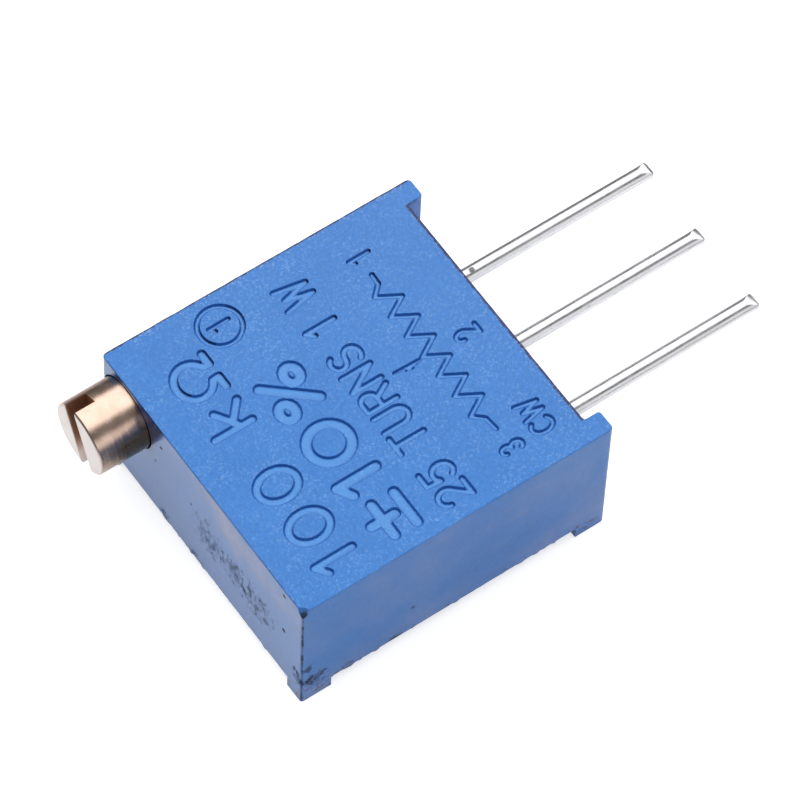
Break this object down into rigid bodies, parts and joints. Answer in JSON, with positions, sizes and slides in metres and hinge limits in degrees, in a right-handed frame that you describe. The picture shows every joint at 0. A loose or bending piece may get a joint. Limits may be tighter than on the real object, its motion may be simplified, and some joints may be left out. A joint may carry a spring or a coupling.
{
  "type": "trimmer potentiometer",
  "caption": "Square multi-turn trimmer potentiometer: a side screw drives a worm wheel that sweeps a wiper over a cermet track.",
  "frame": {"origin": "centre of the bounding box, on the plane of the back feet", "axes": "+X from the screw to the leads, +Y across the row of leads towards lead 1, +Z out of the marked face"},
  "size_m": [0.0184, 0.0096, 0.005],
  "materials": {
    "housing_plastic": "fine satin moulding, glass filled",
    "screw_brass": "turned brass, bright",
    "seal_rubber": "smooth silicone",
    "clip_steel": "rolled strip",
    "wheel_nylon": "natural nylon",
    "wiper_copper_alloy": "rolled copper alloy",
    "brush_precious": "drawn contact wire",
    "alumina": "fired alumina, matt",
    "cermet_film": "fired film",
    "conductor_film": "fired silver film",
    "lead_tinned_copper": "bright tin on copper",
    "solder": "solder fillet",
    "potting_epoxy": "poured epoxy"
  },
  "bodies": {
    "case": {"housing": "housing_plastic", "screw_clip": "clip_steel", "ceramic_base": "alumina", "resistive_track": "cermet_film", "collector_ring": "conductor_film", "end_pad_1": "conductor_film", "end_pad_3": "conductor_film", "terminal_1": "lead_tinned_copper", "terminal_2": "lead_tinned_copper", "terminal_3": "lead_tinned_copper", "solder_1": "solder", "solder_2": "solder", "solder_3": "solder", "potting": "potting_epoxy"},
    "screw": {"adjusting_screw": "screw_brass", "screw_seal": "seal_rubber"},
    "wheel": {"worm_wheel": "wheel_nylon", "wiper_spring": "wiper_copper_alloy", "wiper_brush": "brush_precious"}
  },
  "joints": [
    {"name": "screw_turn", "type": "hinge", "parent": "case", "child": "screw", "pos_m": [-0.0076, 0.00352, 0.00371], "axis": [1, 0, 0], "range_deg": [-4500, 4500]},
    {"name": "wheel_turn", "type": "hinge", "parent": "case", "child": "wheel", "pos_m": [-0.00283, -0.00018, 0.00371], "axis": [0, 0, 1], "range_deg": [-136.4, 136.4]}
  ],
  "couplings": [
    {"joint": "wheel_turn", "follows": "screw_turn", "ratio": 0.030303}
  ]
}
